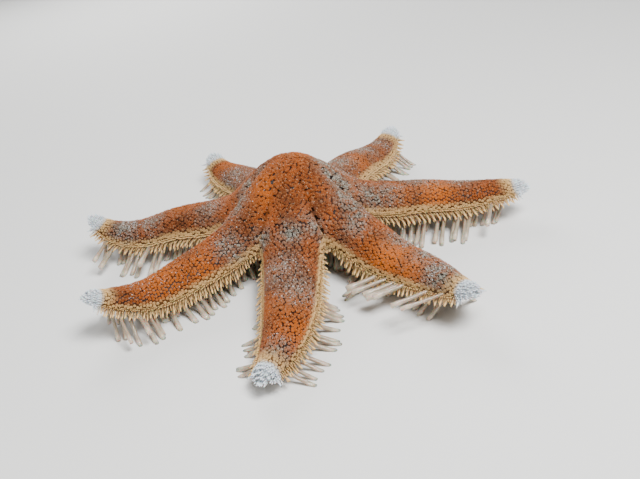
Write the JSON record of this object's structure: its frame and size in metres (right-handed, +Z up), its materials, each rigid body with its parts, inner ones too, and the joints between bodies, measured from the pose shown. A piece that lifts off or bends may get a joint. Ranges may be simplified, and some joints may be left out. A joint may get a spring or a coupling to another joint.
{
  "type": "seven armed starfish",
  "caption": "Life-size model of a young seven armed starfish with a humped disc, drooping arms fringed with spines, and tube feet it stands on.",
  "frame": {"origin": "centre of the bounding box on the floor that the tube feet stand on", "axes": "+Z up through the disc, -Y towards the viewer of the picture, +X to the viewer's right"},
  "size_m": [0.0989, 0.0975, 0.0229],
  "materials": {
    "skin": "matt orange skin with dark pits between the spinelets and cream side spines",
    "tip": "satin white arm tip",
    "jaws": "satin cream mouth plates",
    "feet": "clear, whitish, soft-looking tube feet",
    "fringe": "satin cream spines",
    "sand": "matt grains of pale sand and silt"
  },
  "bodies": {
    "root": {"disc": "skin", "mouth": "jaws", "arm_1_inner": "skin", "arm_1_outer": "skin", "arm_1_tip": "tip", "arm_2_inner": "skin", "arm_2_outer": "skin", "arm_2_tip": "tip", "arm_3_inner": "skin", "arm_3_outer": "skin", "arm_3_tip": "tip", "arm_4_inner": "skin", "arm_4_outer": "skin", "arm_4_tip": "tip", "arm_5_inner": "skin", "arm_5_outer": "skin", "arm_5_tip": "tip", "arm_6_inner": "skin", "arm_6_outer": "skin", "arm_6_tip": "tip", "arm_7_inner": "skin", "arm_7_outer": "skin", "arm_7_tip": "tip"}
  },
  "joints": []
}
